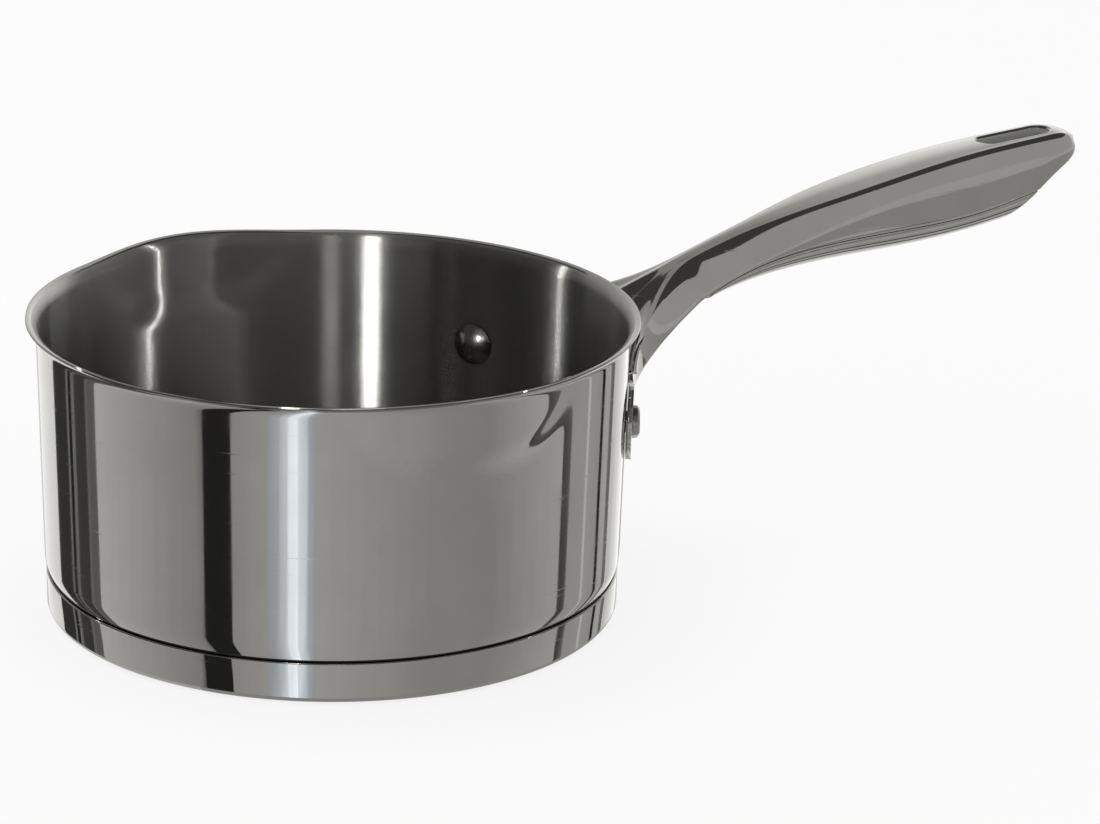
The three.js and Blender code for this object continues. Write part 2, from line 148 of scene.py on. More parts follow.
frayed = add(tree, "ShaderNodeVectorMath", {0: round_way.outputs[0], "Scale": tip_round.outputs[0]},
             operation="SCALE")
frayed = add(tree, "ShaderNodeVectorMath", {0: facing, 1: frayed.outputs[0]}, operation="ADD")
cloud = add(tree, "ShaderNodeTexNoise", {"Vector": place, "Scale": 1000 / 22, "Detail": 3.0})
gloss = add(tree, "ShaderNodeMapRange", {0: cloud.outputs["Fac"], 1: 0.3, 2: 0.7, 3: 0.21, 4: 0.25})
colour = add(tree, "ShaderNodeMix", {0: brushing.outputs["Fac"], 6: linear(SATIN), 7: linear(SATIN_LINE)},
             data_type="RGBA")
sides = []
for tip in (GROOVE_TIP, 0, -GROOVE_TIP):
    tipped = add(tree, "ShaderNodeVectorMath", {
        0: up_way.outputs[0], 1: (tip, tip, tip), 2: frayed.outputs[0]}, operation="MULTIPLY_ADD")
    tipped = add(tree, "ShaderNodeVectorMath", {0: tipped.outputs[0]}, operation="NORMALIZE")
    sides.append(add(tree, "ShaderNodeBsdfPrincipled", {
        "Base Color": colour.outputs[2], "Metallic": 1.0, "Roughness": gloss.outputs[0], "Anisotropic": 1.0,
        "Normal": tipped.outputs[0], "Tangent": up_way.outputs[0]}))
slopes = add(tree, "ShaderNodeMixShader", {0: 0.5, 1: sides[0].outputs[0], 2: sides[2].outputs[0]})
shine = add(tree, "ShaderNodeMixShader", {0: FLAT_SHARE, 1: slopes.outputs[0], 2: sides[1].outputs[0]})
add(tree, "ShaderNodeOutputMaterial", {"Surface": shine.outputs[0]})


def new_tree(name, inputs):
    """A geometry tree with named inputs and one geometry output, and its input sockets."""
    tree = bpy.data.node_groups.new(name, "GeometryNodeTree")
    for label, kind in inputs:
        tree.interface.new_socket(label, in_out="INPUT", socket_type="NodeSocket" + kind)
    tree.interface.new_socket("Piece", in_out="OUTPUT", socket_type="NodeSocketGeometry")
    return tree, add(tree, "NodeGroupInput").outputs


def wall_radius(z):
    """Outside radius of the wall at a height."""
    return top_radius - DRAFT * (wall_top - z) / (wall_top - wall_foot)


def arc(cx, cy, r, start, end, steps):
    """Arc points from one angle to another, in degrees."""
    turns = [math.radians(start + (end - start) * i / steps) for i in range(steps + 1)]
    return [(cx + r * math.cos(a), cy + r * math.sin(a)) for a in turns]


def spread(start, end, steps):
    """Even steps from one value up to the next, without the last."""
    return [start + (end - start) * i / steps for i in range(steps)]


def half_section(name, points):
    """A wire of the half section, in the XZ plane, from points in millimetres."""
    wire = bpy.data.meshes.new(name)
    wire.from_pydata([(r / 1000, 0, z / 1000) for r, z in points],
                     [(i, i + 1) for i in range(len(points) - 1)], [])
    shape = bpy.data.objects.new(name, wire)
    bpy.context.collection.objects.link(shape)
    return shape


def settled(piece):
    """Keep a piece's finished shape as a plain mesh, smooth but for its creases."""
    seen = piece.evaluated_get(bpy.context.evaluated_depsgraph_get())
    raw = piece.data
    piece.data = bpy.data.meshes.new_from_object(seen)
    piece.modifiers.clear()
    bpy.data.meshes.remove(raw)
    piece.data.name = piece.name
    piece.data.shade_smooth()
    piece.data.set_sharp_from_angle(angle=math.radians(SMOOTH_BELOW))


def formed(shape, tree, values):
    """Run a geometry tree on a shape, with values for its named inputs."""
    press = shape.modifiers.new(tree.name, "NODES")
    press.node_group = tree
    for label, value in values.items():
        press[tree.interface.items_tree[label].identifier] = value
    settled(shape)
    return shape


# Turning: each row of a grid is the half section again, turned a step further about +Z
turning, given = new_tree("turned_sheet", (
    ("Half Section", "Geometry"), ("Steps", "Int"), ("First Faces", "Int")))
count = add(turning, "GeometryNodeAttributeDomainSize", {0: given["Half Section"]}).outputs["Point Count"]
rows = add(turning, "ShaderNodeMath", {0: given["Steps"], 1: 1.0}, operation="ADD")
grid = add(turning, "GeometryNodeMeshGrid", {"Vertices X": rows.outputs[0], "Vertices Y": count})
number = add(turning, "GeometryNodeInputIndex").outputs[0]
step = add(turning, "FunctionNodeIntegerMath", {0: number, 1: count}, operation="DIVIDE_FLOOR")
point = add(turning, "FunctionNodeIntegerMath", {0: number, 1: count}, operation="MODULO")
faces = add(turning, "FunctionNodeIntegerMath", {0: count, 1: 1}, operation="SUBTRACT")
ring = add(turning, "FunctionNodeIntegerMath", {0: number, 1: faces.outputs[0]}, operation="MODULO")
later = add(turning, "FunctionNodeCompare", {2: ring.outputs[0], 3: given["First Faces"]}, data_type="INT",
            operation="GREATER_EQUAL")
marked = add(turning, "GeometryNodeStoreNamedAttribute", {
    "Geometry": grid.outputs["Mesh"], "Name": "second_finish", "Value": later.outputs[0]},
    data_type="BOOLEAN", domain="FACE")
share = add(turning, "ShaderNodeMath", {0: step.outputs[0], 1: given["Steps"]}, operation="DIVIDE")
turn = add(turning, "ShaderNodeMath", {0: share.outputs[0], 1: math.tau}, operation="MULTIPLY")
drawn = add(turning, "GeometryNodeInputPosition").outputs[0]
copied = add(turning, "GeometryNodeSampleIndex", {"Geometry": given["Half Section"], "Value": drawn,
                                                  "Index": point.outputs[0]}, data_type="FLOAT_VECTOR")
placed = add(turning, "ShaderNodeVectorRotate", {"Vector": copied.outputs[0], "Angle": turn.outputs[0]},
             rotation_type="Z_AXIS")
swept = add(turning, "GeometryNodeSetPosition", {
    "Geometry": marked.outputs[0], "Position": placed.outputs[0]})
welded = add(turning, "GeometryNodeMergeByDistance", {
    "Geometry": swept.outputs[0], "Distance": WELD_GAP / 1000})
add(turning, "NodeGroupOutput", {0: welded.outputs[0]})


def turned(tree, given, labels=("Half Section", "Steps", "First Faces")):
    """The turned sheet inside another tree, from that tree's own inputs."""
    inputs = {label: given[label] for label in labels}
    return add(tree, "GeometryNodeGroup", inputs, node_tree=turning).outputs[0]


def two_finishes(tree, shape, first, second):
    """End a tree with real faces in the first finish, and those that the turning marks in the second."""
    real = add(tree, "GeometryNodeRealizeInstances", {"Geometry": shape})
    marks = add(tree, "GeometryNodeInputNamedAttribute", {"Name": "second_finish"}, data_type="BOOLEAN")
    dressed = add(tree, "GeometryNodeSetMaterial", {"Geometry": real.outputs[0], "Material": first})
    dressed = add(tree, "GeometryNodeSetMaterial", {
        "Geometry": dressed.outputs[0], "Selection": marks.outputs[0], "Material": second})
    add(tree, "NodeGroupOutput", {0: dressed.outputs[0]})


# Pressing: the turned pan is pushed out and up where the spouts are, most along their middles.
# The pocket's foot is a short step, lowest in the middle, and the lift comes only near the lip.
pressing, given = new_tree("drawn_pan", (
    ("Half Section", "Geometry"), ("Steps", "Int"), ("First Faces", "Int"), ("Height", "Float"),
    ("Angle", "Float"), ("Half Angle", "Float"), ("Reach", "Float"), ("Lift", "Float"), ("Depth", "Float"),
    ("Step", "Float"), ("Outside", "Material"), ("Inside", "Material")))
place = add(pressing, "ShaderNodeSeparateXYZ", {0: add(pressing, "GeometryNodeInputPosition").outputs[0]})
outward = add(pressing, "ShaderNodeCombineXYZ", {0: place.outputs[0], 1: place.outputs[1]})
outward = add(pressing, "ShaderNodeVectorMath", {0: outward.outputs[0]}, operation="NORMALIZE")
bearing = add(pressing, "ShaderNodeMath", {0: place.outputs[1], 1: place.outputs[0]}, operation="ARCTAN2")
bearing = add(pressing, "ShaderNodeMath", {0: bearing.outputs[0]}, operation="ABSOLUTE")
off = add(pressing, "ShaderNodeMath", {0: bearing.outputs[0], 1: given["Angle"]}, operation="SUBTRACT")
off = add(pressing, "ShaderNodeMath", {0: off.outputs[0]}, operation="ABSOLUTE")
off = add(pressing, "ShaderNodeMapRange", {0: off.outputs[0], 1: 0.0, 2: given["Half Angle"]})
deep = add(pressing, "ShaderNodeMath", {0: off.outputs[0], 1: 3.0}, operation="POWER")
deep = add(pressing, "ShaderNodeMath", {0: 1.0, 1: deep.outputs[0]}, operation="SUBTRACT")
deep = add(pressing, "ShaderNodeMath", {0: deep.outputs[0], 1: given["Depth"]}, operation="MULTIPLY")
step = add(pressing, "ShaderNodeMath", {0: given["Height"], 1: deep.outputs[0]}, operation="SUBTRACT")
half_step = add(pressing, "ShaderNodeMath", {0: given["Step"], 1: 0.5}, operation="MULTIPLY")
foot = add(pressing, "ShaderNodeMath", {0: step.outputs[0], 1: half_step.outputs[0]}, operation="SUBTRACT")
head = add(pressing, "ShaderNodeMath", {0: step.outputs[0], 1: half_step.outputs[0]}, operation="ADD")
rise = add(pressing, "ShaderNodeMapRange", {0: place.outputs[2], 1: foot.outputs[0], 2: head.outputs[0]},
           interpolation_type="SMOOTHSTEP")
push = add(pressing, "ShaderNodeMath", {0: off.outputs[0], 1: math.pi / 2}, operation="MULTIPLY")
push = add(pressing, "ShaderNodeMath", {0: push.outputs[0]}, operation="COSINE")
push = add(pressing, "ShaderNodeMath", {0: push.outputs[0], 1: 2.0}, operation="POWER")
push = add(pressing, "ShaderNodeMath", {0: push.outputs[0], 1: rise.outputs[0]}, operation="MULTIPLY")
reached = add(pressing, "ShaderNodeMath", {0: push.outputs[0], 1: given["Reach"]}, operation="MULTIPLY")
low = add(pressing, "ShaderNodeMath", {0: given["Height"], 1: given["Depth"]}, operation="SUBTRACT")
late = add(pressing, "ShaderNodeMapRange", {0: place.outputs[2], 1: low.outputs[0], 2: given["Height"]},
           interpolation_type="SMOOTHSTEP")
late = add(pressing, "ShaderNodeMath", {0: late.outputs[0], 1: 4.0}, operation="POWER")
lifted = add(pressing, "ShaderNodeMath", {0: push.outputs[0], 1: late.outputs[0]}, operation="MULTIPLY")
lifted = add(pressing, "ShaderNodeMath", {0: lifted.outputs[0], 1: given["Lift"]}, operation="MULTIPLY")
out = add(pressing, "ShaderNodeVectorMath", {0: outward.outputs[0], "Scale": reached.outputs[0]},
          operation="SCALE")
up = add(pressing, "ShaderNodeCombineXYZ", {2: lifted.outputs[0]})
move = add(pressing, "ShaderNodeVectorMath", {0: out.outputs[0], 1: up.outputs[0]}, operation="ADD")
pressed = add(pressing, "GeometryNodeSetPosition", {
    "Geometry": turned(pressing, given), "Offset": move.outputs[0]})
two_finishes(pressing, pressed.outputs[0], given["Outside"], given["Inside"])

corner_centre = wall_radius(wall_foot) - CORNER_RADIUS
lip_centre = top_radius + LIP_RADIUS
spout_foot = PAN_HEIGHT - SPOUT_DEPTH - SPOUT_STEP / 2
edge_round = SHEET / 2
lip_middle = LIP_RADIUS + edge_round
lip_end = 180 - LIP_TURN + math.degrees(edge_round / lip_middle)
heights = spread(wall_foot, spout_foot, 10)[1:] + spread(spout_foot, wall_top, 30)
rim = arc(0, 0, edge_round, lip_end + 180, lip_end, 6)[1:-1]
rim_at = arc(lip_centre, wall_top, lip_middle, lip_end, lip_end, 1)[0]
outside = [(r, FLOOR_UNDERSIDE) for r in spread(0, corner_centre, 6)]
outside += arc(corner_centre, wall_foot, CORNER_RADIUS, -90, 0, 16)
outside += [(wall_radius(z), z) for z in heights]
outside += arc(lip_centre, wall_top, LIP_RADIUS, 180, lip_end, 14)
outside += [(rim_at[0] + r, rim_at[1] + z) for r, z in rim]
rolled_lip = arc(lip_centre, wall_top, LIP_RADIUS + SHEET, lip_end, 180, 14)
outside += rolled_lip[:LIP_POLISHED_STEPS]
inside = rolled_lip[LIP_POLISHED_STEPS:]
inside += [(wall_radius(z) - SHEET, z) for z in reversed(heights)]
inside += arc(corner_centre, wall_foot, CORNER_RADIUS - SHEET, 0, -90, 16)
inside += [(r, FLOOR_UNDERSIDE + SHEET) for r in reversed(spread(0, corner_centre, 12))]
pan = formed(half_section("pan", outside + inside), pressing, {
    "Steps": PAN_STEPS, "First Faces": len(outside), "Height": PAN_HEIGHT / 1000,
    "Angle": math.radians(SPOUT_ANGLE), "Half Angle": math.radians(SPOUT_HALF_ANGLE),
    "Reach": SPOUT_REACH / 1000, "Lift": SPOUT_LIFT / 1000, "Depth": SPOUT_DEPTH / 1000,
    "Step": SPOUT_STEP / 1000, "Outside": polished, "Inside": satin})
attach(pan, "root")
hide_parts("pan_body")

# The base's heat-spreading disc is blanked from rolled aluminium sheet and sealed under the pan.
# Only its edge could ever show, in the hairline gap above the cap.
ALUMINIUM = "#b4b6b8"
ALUMINIUM_DULL = "#9b9da0"
rolled, tree, place = new_finish("aluminium_rolled")
along_roll = add(tree, "ShaderNodeMapping", {"Vector": place, "Scale": (60, 1000 / 0.8, 60)})
streak = add(tree, "ShaderNodeTexNoise", {"Vector": along_roll.outputs[0], "Scale": 1.0, "Detail": 3.0})
gloss = add(tree, "ShaderNodeMapRange", {0: streak.outputs["Fac"], 1: 0.3, 2: 0.7, 3: 0.32, 4: 0.5})
grain = add(tree, "ShaderNodeBump", {"Strength": 0.3, "Distance": 0.00003, "Height": streak.outputs["Fac"]})
metal_surface(tree, streak.outputs["Fac"], ALUMINIUM, ALUMINIUM_DULL, {
    "Roughness": gloss.outputs[0], "Normal": grain.outputs[0]})


def dress(piece, *finishes):
    """Give a piece its finishes, in place of any that it has."""
    piece.data.materials.clear()
    for finish in finishes:
        piece.data.materials.append(finish)


dress(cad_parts["base_core"], rolled)

# The cap is a shallow stainless cup, impact-bonded over the disc with its edge below the pan's corner.
# Its side is polished with the pan, and its underside is faced on a lathe.
CAP_HEIGHT = 11.3
CAP_SHEET = 0.6
CAP_EDGE_RADIUS = 2.5
CAP_LIP_ROUND = 0.25
FIT = 0.25
FACED = "#9d9c99"
FACED_GROOVE = "#8a8986"
RING_PITCH = 0.9

# Lathe-faced stainless: fine rings round the centre, drawn 0.9 mm apart so that they show,
# with faint dark wear where the base slides on a hob.
faced, tree, place = new_finish("stainless_lathe_faced")
flat_place = add(tree, "ShaderNodeVectorMath", {0: place, 1: (1, 1, 0)}, operation="MULTIPLY")
reach = add(tree, "ShaderNodeVectorMath", {0: flat_place.outputs[0]}, operation="LENGTH")
rings = add(tree, "ShaderNodeMath", {0: reach.outputs["Value"], 1: math.tau * 1000 / RING_PITCH},
            operation="MULTIPLY")
rings = add(tree, "ShaderNodeMath", {0: rings.outputs[0]}, operation="SINE")
wear = add(tree, "ShaderNodeTexNoise", {"Vector": place, "Scale": 1000 / 18, "Detail": 4.0})
gloss = add(tree, "ShaderNodeMapRange", {0: wear.outputs["Fac"], 1: 0.3, 2: 0.7, 3: 0.2, 4: 0.34})
cut = add(tree, "ShaderNodeBump", {"Strength": 0.5, "Distance": 0.00002, "Height": rings.outputs[0]})
metal_surface(tree, wear.outputs["Fac"], FACED, FACED_GROOVE, {
    "Roughness": gloss.outputs[0], "Normal": cut.outputs[0]})

capping, given = new_tree("pressed_cap", (
    ("Half Section", "Geometry"), ("Steps", "Int"), ("First Faces", "Int"), ("Underside", "Material"),
    ("Side", "Material")))
two_finishes(capping, turned(capping, given), given["Underside"], given["Side"])

seat_drop = wall_foot - CAP_HEIGHT
disc_radius = corner_centre + math.sqrt(CORNER_RADIUS ** 2 - seat_drop ** 2)
cap_radius = disc_radius + FIT + CAP_SHEET
cap_flat = cap_radius - CAP_EDGE_RADIUS
under = [(r, 0) for r in spread(0, cap_flat, 12)]
side = arc(cap_flat, CAP_EDGE_RADIUS, CAP_EDGE_RADIUS, -90, 0, 12)
side += arc(cap_radius - CAP_LIP_ROUND, CAP_HEIGHT - CAP_LIP_ROUND, CAP_LIP_ROUND, 0, 90, 4)
side += [(cap_radius - CAP_SHEET, CAP_HEIGHT)]
side += arc(cap_flat, CAP_EDGE_RADIUS, CAP_EDGE_RADIUS - CAP_SHEET, 0, -90, 6)
side += [(0, CAP_SHEET)]
cap = formed(half_section("cap", under + side), capping, {
    "Steps": PAN_STEPS, "First Faces": len(under), "Underside": faced, "Side": polished})
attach(cap, "root")
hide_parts("base_cap")

# The handle's upper shell is pressed from thick stainless sheet: the top and sides of the grip run
# into two arms that spread round the wall to round ears. A slot near the tip hangs it on a hook.
HANDLE_LENGTH = 173.3
HANDLE_SHEET = 1.5
TIP_ROUND = 10
TIP_DROP = 12
CROWN = 0.6
CROWN_LIMIT = 0.1
CORNER_LIMIT = 0.6
RIDGE_PROUD = 0.5
NECK = 0.204
NECK_LEAD = 2
SEAM_END = (0.896, 7.3)
CREST = ((0, -10.4), (0.215, 2.4), (0.388, 10.8), (0.579, 17.5), (0.769, 22), (0.931, 23.9))
SEAM = ((0.181, -12.5), (0.244, -7.3), (0.319, -2.9), (0.452, 0.7), (0.642, 2), (0.769, 3.5), SEAM_END)
END_CUT = ((0.815, -3.3), SEAM_END, (0.948, 13.5), (1, 17.7))
FLAT_HALF = ((0.181, 2), (0.319, 3.2), (0.458, 6), (0.602, 7), (0.769, 6.5), (0.931, 5.6))
SHOULDER = ((0.181, 3.1), (0.319, 2.6), (0.458, 2.1), (0.602, 2.1), (0.931, 2.1))
SEAM_HALF = ((0.181, 7.8), (0.319, 8.2), (0.458, 9.4), (0.602, 10), (0.769, 9.7), (0.931, 8.4))
RIVET_ANGLE = 30.5
RIVET_DROP = 30.2
EAR_RADIUS = 10.5
ARM_INSET = 3.5
ARM_LOW_EDGE = 2.5
ARM_HIGH_EDGE = 12
ARM_SLOPE = 0.3
ARM_REACH = 15
ARM_LIFT = 0.8
ARM_SPREAD = 3.5
SLOT_FROM_TIP = 22.5
SLOT_LENGTH = 26
SLOT_WIDTH = 8.4
SLOT_COLLAR = 5
SLOT_ROUND = 1.0
SLOT_ROLL_OUT = 0.6
SLOT_SHEET = 1.1
SLOT_POLISHED_RINGS = 9
SLOT_END_STEPS = 24
SLOT_SIDE_STEPS = 12
SLOT_ROLL_STEPS = 10
EDGE_ROUND = 0.12
EDGE_SHARPER_THAN = 50
SHEET_WELD = 0.004
SIDE_STEPS = 14
SHOULDER_STEPS = 12
TOP_STEPS = 8
EAR_STEPS = 12
ARM_STEPS = 28
GRIP_STEPS = 84
TIP_STEPS = 18

rivet_height = PAN_HEIGHT - RIVET_DROP
columns = SIDE_STEPS + SHOULDER_STEPS + TOP_STEPS


def handle_x(part):
    """Distance from the pan's axis at a share of the handle's length."""
    return top_radius + part * HANDLE_LENGTH


def line(stations, level=0.0):
    """A smooth line through stations, as a function of the distance from the axis."""
    xs = np.array([handle_x(part) for part, _ in stations])
    ys = np.array([level + value for _, value in stations])
    gap = np.diff(xs)
    slope = np.diff(ys) / gap
    n = len(xs)
    grid = np.zeros((n, n))
    pull = np.zeros(n)
    grid[0, :2] = 2 * gap[0], gap[0]
    grid[-1, -2:] = gap[-1], 2 * gap[-1]
    for i in range(1, n - 1):
        grid[i, i - 1:i + 2] = gap[i - 1], 2 * (gap[i - 1] + gap[i]), gap[i]
        pull[i] = 6 * (slope[i] - slope[i - 1])
    bend = np.linalg.solve(grid, pull)

    def at(x):
        i = int(np.clip(np.searchsorted(xs, x) - 1, 0, n - 2))
        x0, x1 = xs[i], xs[i + 1]
        held = min(max(x, xs[0]), xs[-1])
        a, b = (x1 - held) / gap[i], (held - x0) / gap[i]
        sag = (a ** 3 - a) * bend[i] + (b ** 3 - b) * bend[i + 1]
        y = a * ys[i] + b * ys[i + 1] + sag * gap[i] ** 2 / 6
        tilt = slope[i] + ((1 - 3 * a * a) * bend[i] + (3 * b * b - 1) * bend[i + 1]) * gap[i] / 6
        return float(y + (x - held) * tilt)
    return at


crest = line(CREST, PAN_HEIGHT)
seam = line(SEAM, PAN_HEIGHT)
end_cut = line(END_CUT, PAN_HEIGHT)
flat_half = line(FLAT_HALF)
shoulder = line(SHOULDER)
seam_half = line(SEAM_HALF)
neck_x = handle_x(NECK)
tip_x = handle_x(1)
grip_end = tip_x - TIP_ROUND
seam_end = handle_x(SEAM_END[0])
cut_start = handle_x(END_CUT[0][0])
slot_x = tip_x - SLOT_FROM_TIP


def mixed(a, b, part):
    """The value or point a share of the way from one to the other."""
    return a + (b - a) * part


def lower_edge(x):
    """Lower edge of the upper shell: the seam, then the end cut up to the tip."""
    edge = seam(min(x, seam_end))
    return max(edge, end_cut(x)) if x > cut_start else edge


def tip_fall(x, length):
    """Quarter-round fall from 1 to 0 over a length before the tip."""
    part = min(max((x - tip_x + length) / length, 0), 1)
    return math.sqrt(1 - part * part)


def bend_through(a, b, c, part):
    """A point on the curve from a to c that leans toward b."""
    return mixed(mixed(a, b, part), mixed(b, c, part), part)


def half_shell(x):
    """Half of the upper shell's section, from its lower edge up to its crest."""
    k = tip_fall(x, TIP_ROUND)
    top = mixed(lower_edge(tip_x), crest(x), tip_fall(x, TIP_DROP))
    low = min(lower_edge(x), top)
    flat = flat_half(x) * k
    wide = flat + shoulder(x) * k
    edge = top - min(CROWN, (top - low) * CROWN_LIMIT)
    corner = min(shoulder(x), (top - low) * CORNER_LIMIT)
    foot = Vector((x, seam_half(x) * k, low))
    knee = Vector((x, wide, max(edge - corner, low)))
    proud = mixed(foot, knee, 0.5) + Vector((0, 2 * RIDGE_PROUD * k, 0))
    points = [bend_through(foot, proud, knee, i / SIDE_STEPS) for i in range(SIDE_STEPS)]
    # The shoulder carries on from the slope of the side
    lean = (knee.y - proud.y) / (knee.z - proud.z) if knee.z > proud.z else 0
    over = min(max(wide + lean * (edge - knee.z), flat), wide)
    turn = (knee, Vector((x, over, edge)), Vector((x, flat, edge)))
    points += [bend_through(*turn, i / SHOULDER_STEPS) for i in range(SHOULDER_STEPS)]
    for i in range(TOP_STEPS + 1):
        part = 1 - i / TOP_STEPS
        points.append(Vector((x, flat * part, mixed(top, edge, part * part))))
    return points


def on_wall(degrees, z, standoff):
    """A point held off the pan's wall, at an angle from the handle and a height."""
    r = wall_radius(z) + standoff
    return Vector((r * math.cos(math.radians(degrees)), r * math.sin(math.radians(degrees)), z))


arm_angle = RIVET_ANGLE - ARM_INSET


def arm_height(part):
    """Height of the arm's root on the wall, from its lower edge to its upper edge."""
    return rivet_height + mixed(ARM_LOW_EDGE, ARM_HIGH_EDGE, part)


def arm_root(j):
    """Where column j of the shell meets the wall, and the way it leaves it toward the neck."""
    a = math.radians(arm_angle)
    leave = Vector((math.sin(a), -math.cos(a), ARM_SLOPE)).normalized()
    if j <= SIDE_STEPS:
        return on_wall(arm_angle, arm_height(j / SIDE_STEPS), FIT + HANDLE_SHEET), leave
    part = (j - SIDE_STEPS) / (columns - SIDE_STEPS)
    z = mixed(arm_height(1), crest(top_radius), part ** 3)
    along_crest = Vector((1, 0, crest(top_radius + 1) - crest(top_radius)))
    leave = mixed(leave, along_crest, part).normalized()
    return on_wall(arm_angle * (1 - part), z, FIT + HANDLE_SHEET * (1 - part)), leave


def shell_rows():
    """Outside of one half of the upper shell as rows of points, from the wall to the tip."""
    neck = half_shell(neck_x)
    beyond = half_shell(neck_x + NECK_LEAD)
    arms = []
    for j, end in enumerate(neck):
        at, leave = arm_root(j)
        share = max(0, 1 - j / (SIDE_STEPS + SHOULDER_STEPS))
        second = at + leave * ARM_REACH + Vector((at.x, at.y, 0)).normalized() * ARM_LIFT * share
        third = end + (end - beyond[j]).normalized() * ARM_REACH + Vector((0, ARM_SPREAD * share, 0))
        arms.append((at, second, third, end))
    rows = []
    for i in range(ARM_STEPS):
        part = i / ARM_STEPS
        row = []
        for a, b, c, d in arms:
            row.append(mixed(bend_through(a, b, c, part), bend_through(b, c, d, part), part))
        rows.append(row)
    rows += [half_shell(mixed(neck_x, grip_end, i / GRIP_STEPS)) for i in range(GRIP_STEPS + 1)]
    for i in range(1, TIP_STEPS + 1):
        rows.append(half_shell(grip_end + TIP_ROUND * math.sin(i / TIP_STEPS * math.pi / 2)))
    return rows


def ear_rows():
    """The round ear beyond the arm, as rows of points that end on the arm's root."""
    rows = []
    ear_at = wall_radius(rivet_height) + FIT + HANDLE_SHEET
    for i in range(EAR_STEPS + 1):
        part = i / EAR_STEPS
        row = []
        for j in range(SIDE_STEPS + 1):
            turn = math.pi * (j / SIDE_STEPS - 0.5)
            round_angle = RIVET_ANGLE + math.degrees(EAR_RADIUS * math.cos(turn) / ear_at)
            round_height = rivet_height + EAR_RADIUS * math.sin(turn)
            z = mixed(round_height, arm_height(j / SIDE_STEPS), part ** 3)
            row.append(on_wall(mixed(round_angle, arm_angle, part), z, FIT + HANDLE_SHEET))
        rows.append(row)
    return rows


def sheet_piece(name, grids, thickness):
    """A mirrored sheet from grids of points in millimetres, thickened inward, with eased edges."""
    points = []
    faces = []
    for rows in grids:
        for side in (1, -1):
            start = len(points)
            wide = len(rows[0])
            points += [(p.x / 1000, side * p.y / 1000, p.z / 1000) for row in rows for p in row]
            for i in range(len(rows) - 1):
                for j in range(wide - 1):
                    a = start + i * wide + j
                    quad = (a, a + 1, a + wide + 1, a + wide)
                    faces.append(quad if side > 0 else quad[::-1])
    mesh = bpy.data.meshes.new(name)
    mesh.from_pydata(points, [], faces)
    piece = bpy.data.objects.new(name, mesh)
    bpy.context.collection.objects.link(piece)
    weld = piece.modifiers.new("weld", "WELD")
    weld.merge_threshold = SHEET_WELD / 1000
    wall = piece.modifiers.new("sheet", "SOLIDIFY")
    wall.thickness = thickness / 1000
    wall.offset = -1
    ease = piece.modifiers.new("eased", "BEVEL")
    ease.width = EDGE_ROUND / 1000
    ease.segments = 2
    ease.angle_limit = math.radians(EDGE_SHARPER_THAN)
    return piece


def top_surface(x, y):
    """Height of the shell's crowned top near the slot."""
    points = half_shell(x)
    top, edge = points[-1].z, points[-1 - TOP_STEPS]
    return mixed(top, edge.z, (y / edge.y) ** 2)


def slot_line(offset):
    """The slot's round-ended outline, a little outside or inside its clear width."""
    r = SLOT_WIDTH / 2 + offset
    half = (SLOT_LENGTH - SLOT_WIDTH) / 2
    ends = arc(slot_x + half, 0, r, -90, 90, SLOT_END_STEPS)
    ends += [(slot_x + d, r) for d in spread(half, -half, SLOT_SIDE_STEPS)[1:]]
    ends += arc(slot_x - half, 0, r, 90, 270, SLOT_END_STEPS)
    return ends + [(slot_x + d, -r) for d in spread(-half, half, SLOT_SIDE_STEPS)[1:]]


# As-pressed stainless: the grey, dull skin of sheet that no wheel reaches, mottled by the press oil
PRESSED = "#c6c6c2"
PRESSED_DARK = "#acaca8"
pressed_dull, tree, place = new_finish("stainless_as_pressed")
mottle = add(tree, "ShaderNodeTexNoise", {"Vector": place, "Scale": 1000 / 2.5, "Detail": 4.0})
gloss = add(tree, "ShaderNodeMapRange", {0: mottle.outputs["Fac"], 1: 0.3, 2: 0.7, 3: 0.45, 4: 0.6})
metal_surface(tree, mottle.outputs["Fac"], PRESSED, PRESSED_DARK, {
    "Metallic": 0.35, "Roughness": gloss.outputs[0]})

# Blanking the slot: an upright block with round ends is cut out of the shell
upper = sheet_piece("handle_top", [shell_rows(), ear_rows()], HANDLE_SHEET)
outline = slot_line(SLOT_ROLL_OUT)
around = len(outline)
punch_mesh = bpy.data.meshes.new("slot_punch")
levels = (crest(slot_x) - 3 * SLOT_COLLAR, crest(slot_x) + SLOT_COLLAR)
corners = [(x / 1000, y / 1000, z / 1000) for z in levels for x, y in outline]
sides = [tuple(reversed(range(around))), tuple(range(around, 2 * around))]
sides += [(i, (i + 1) % around, (i + 1) % around + around, i + around) for i in range(around)]
punch_mesh.from_pydata(corners, [], sides)
punch = bpy.data.objects.new("slot_punch", punch_mesh)
bpy.context.collection.objects.link(punch)
blanked = upper.modifiers.new("blanked", "BOOLEAN")
blanked.object = punch
settled(upper)
bpy.data.objects.remove(punch)
dress(upper, polished, pressed_dull)

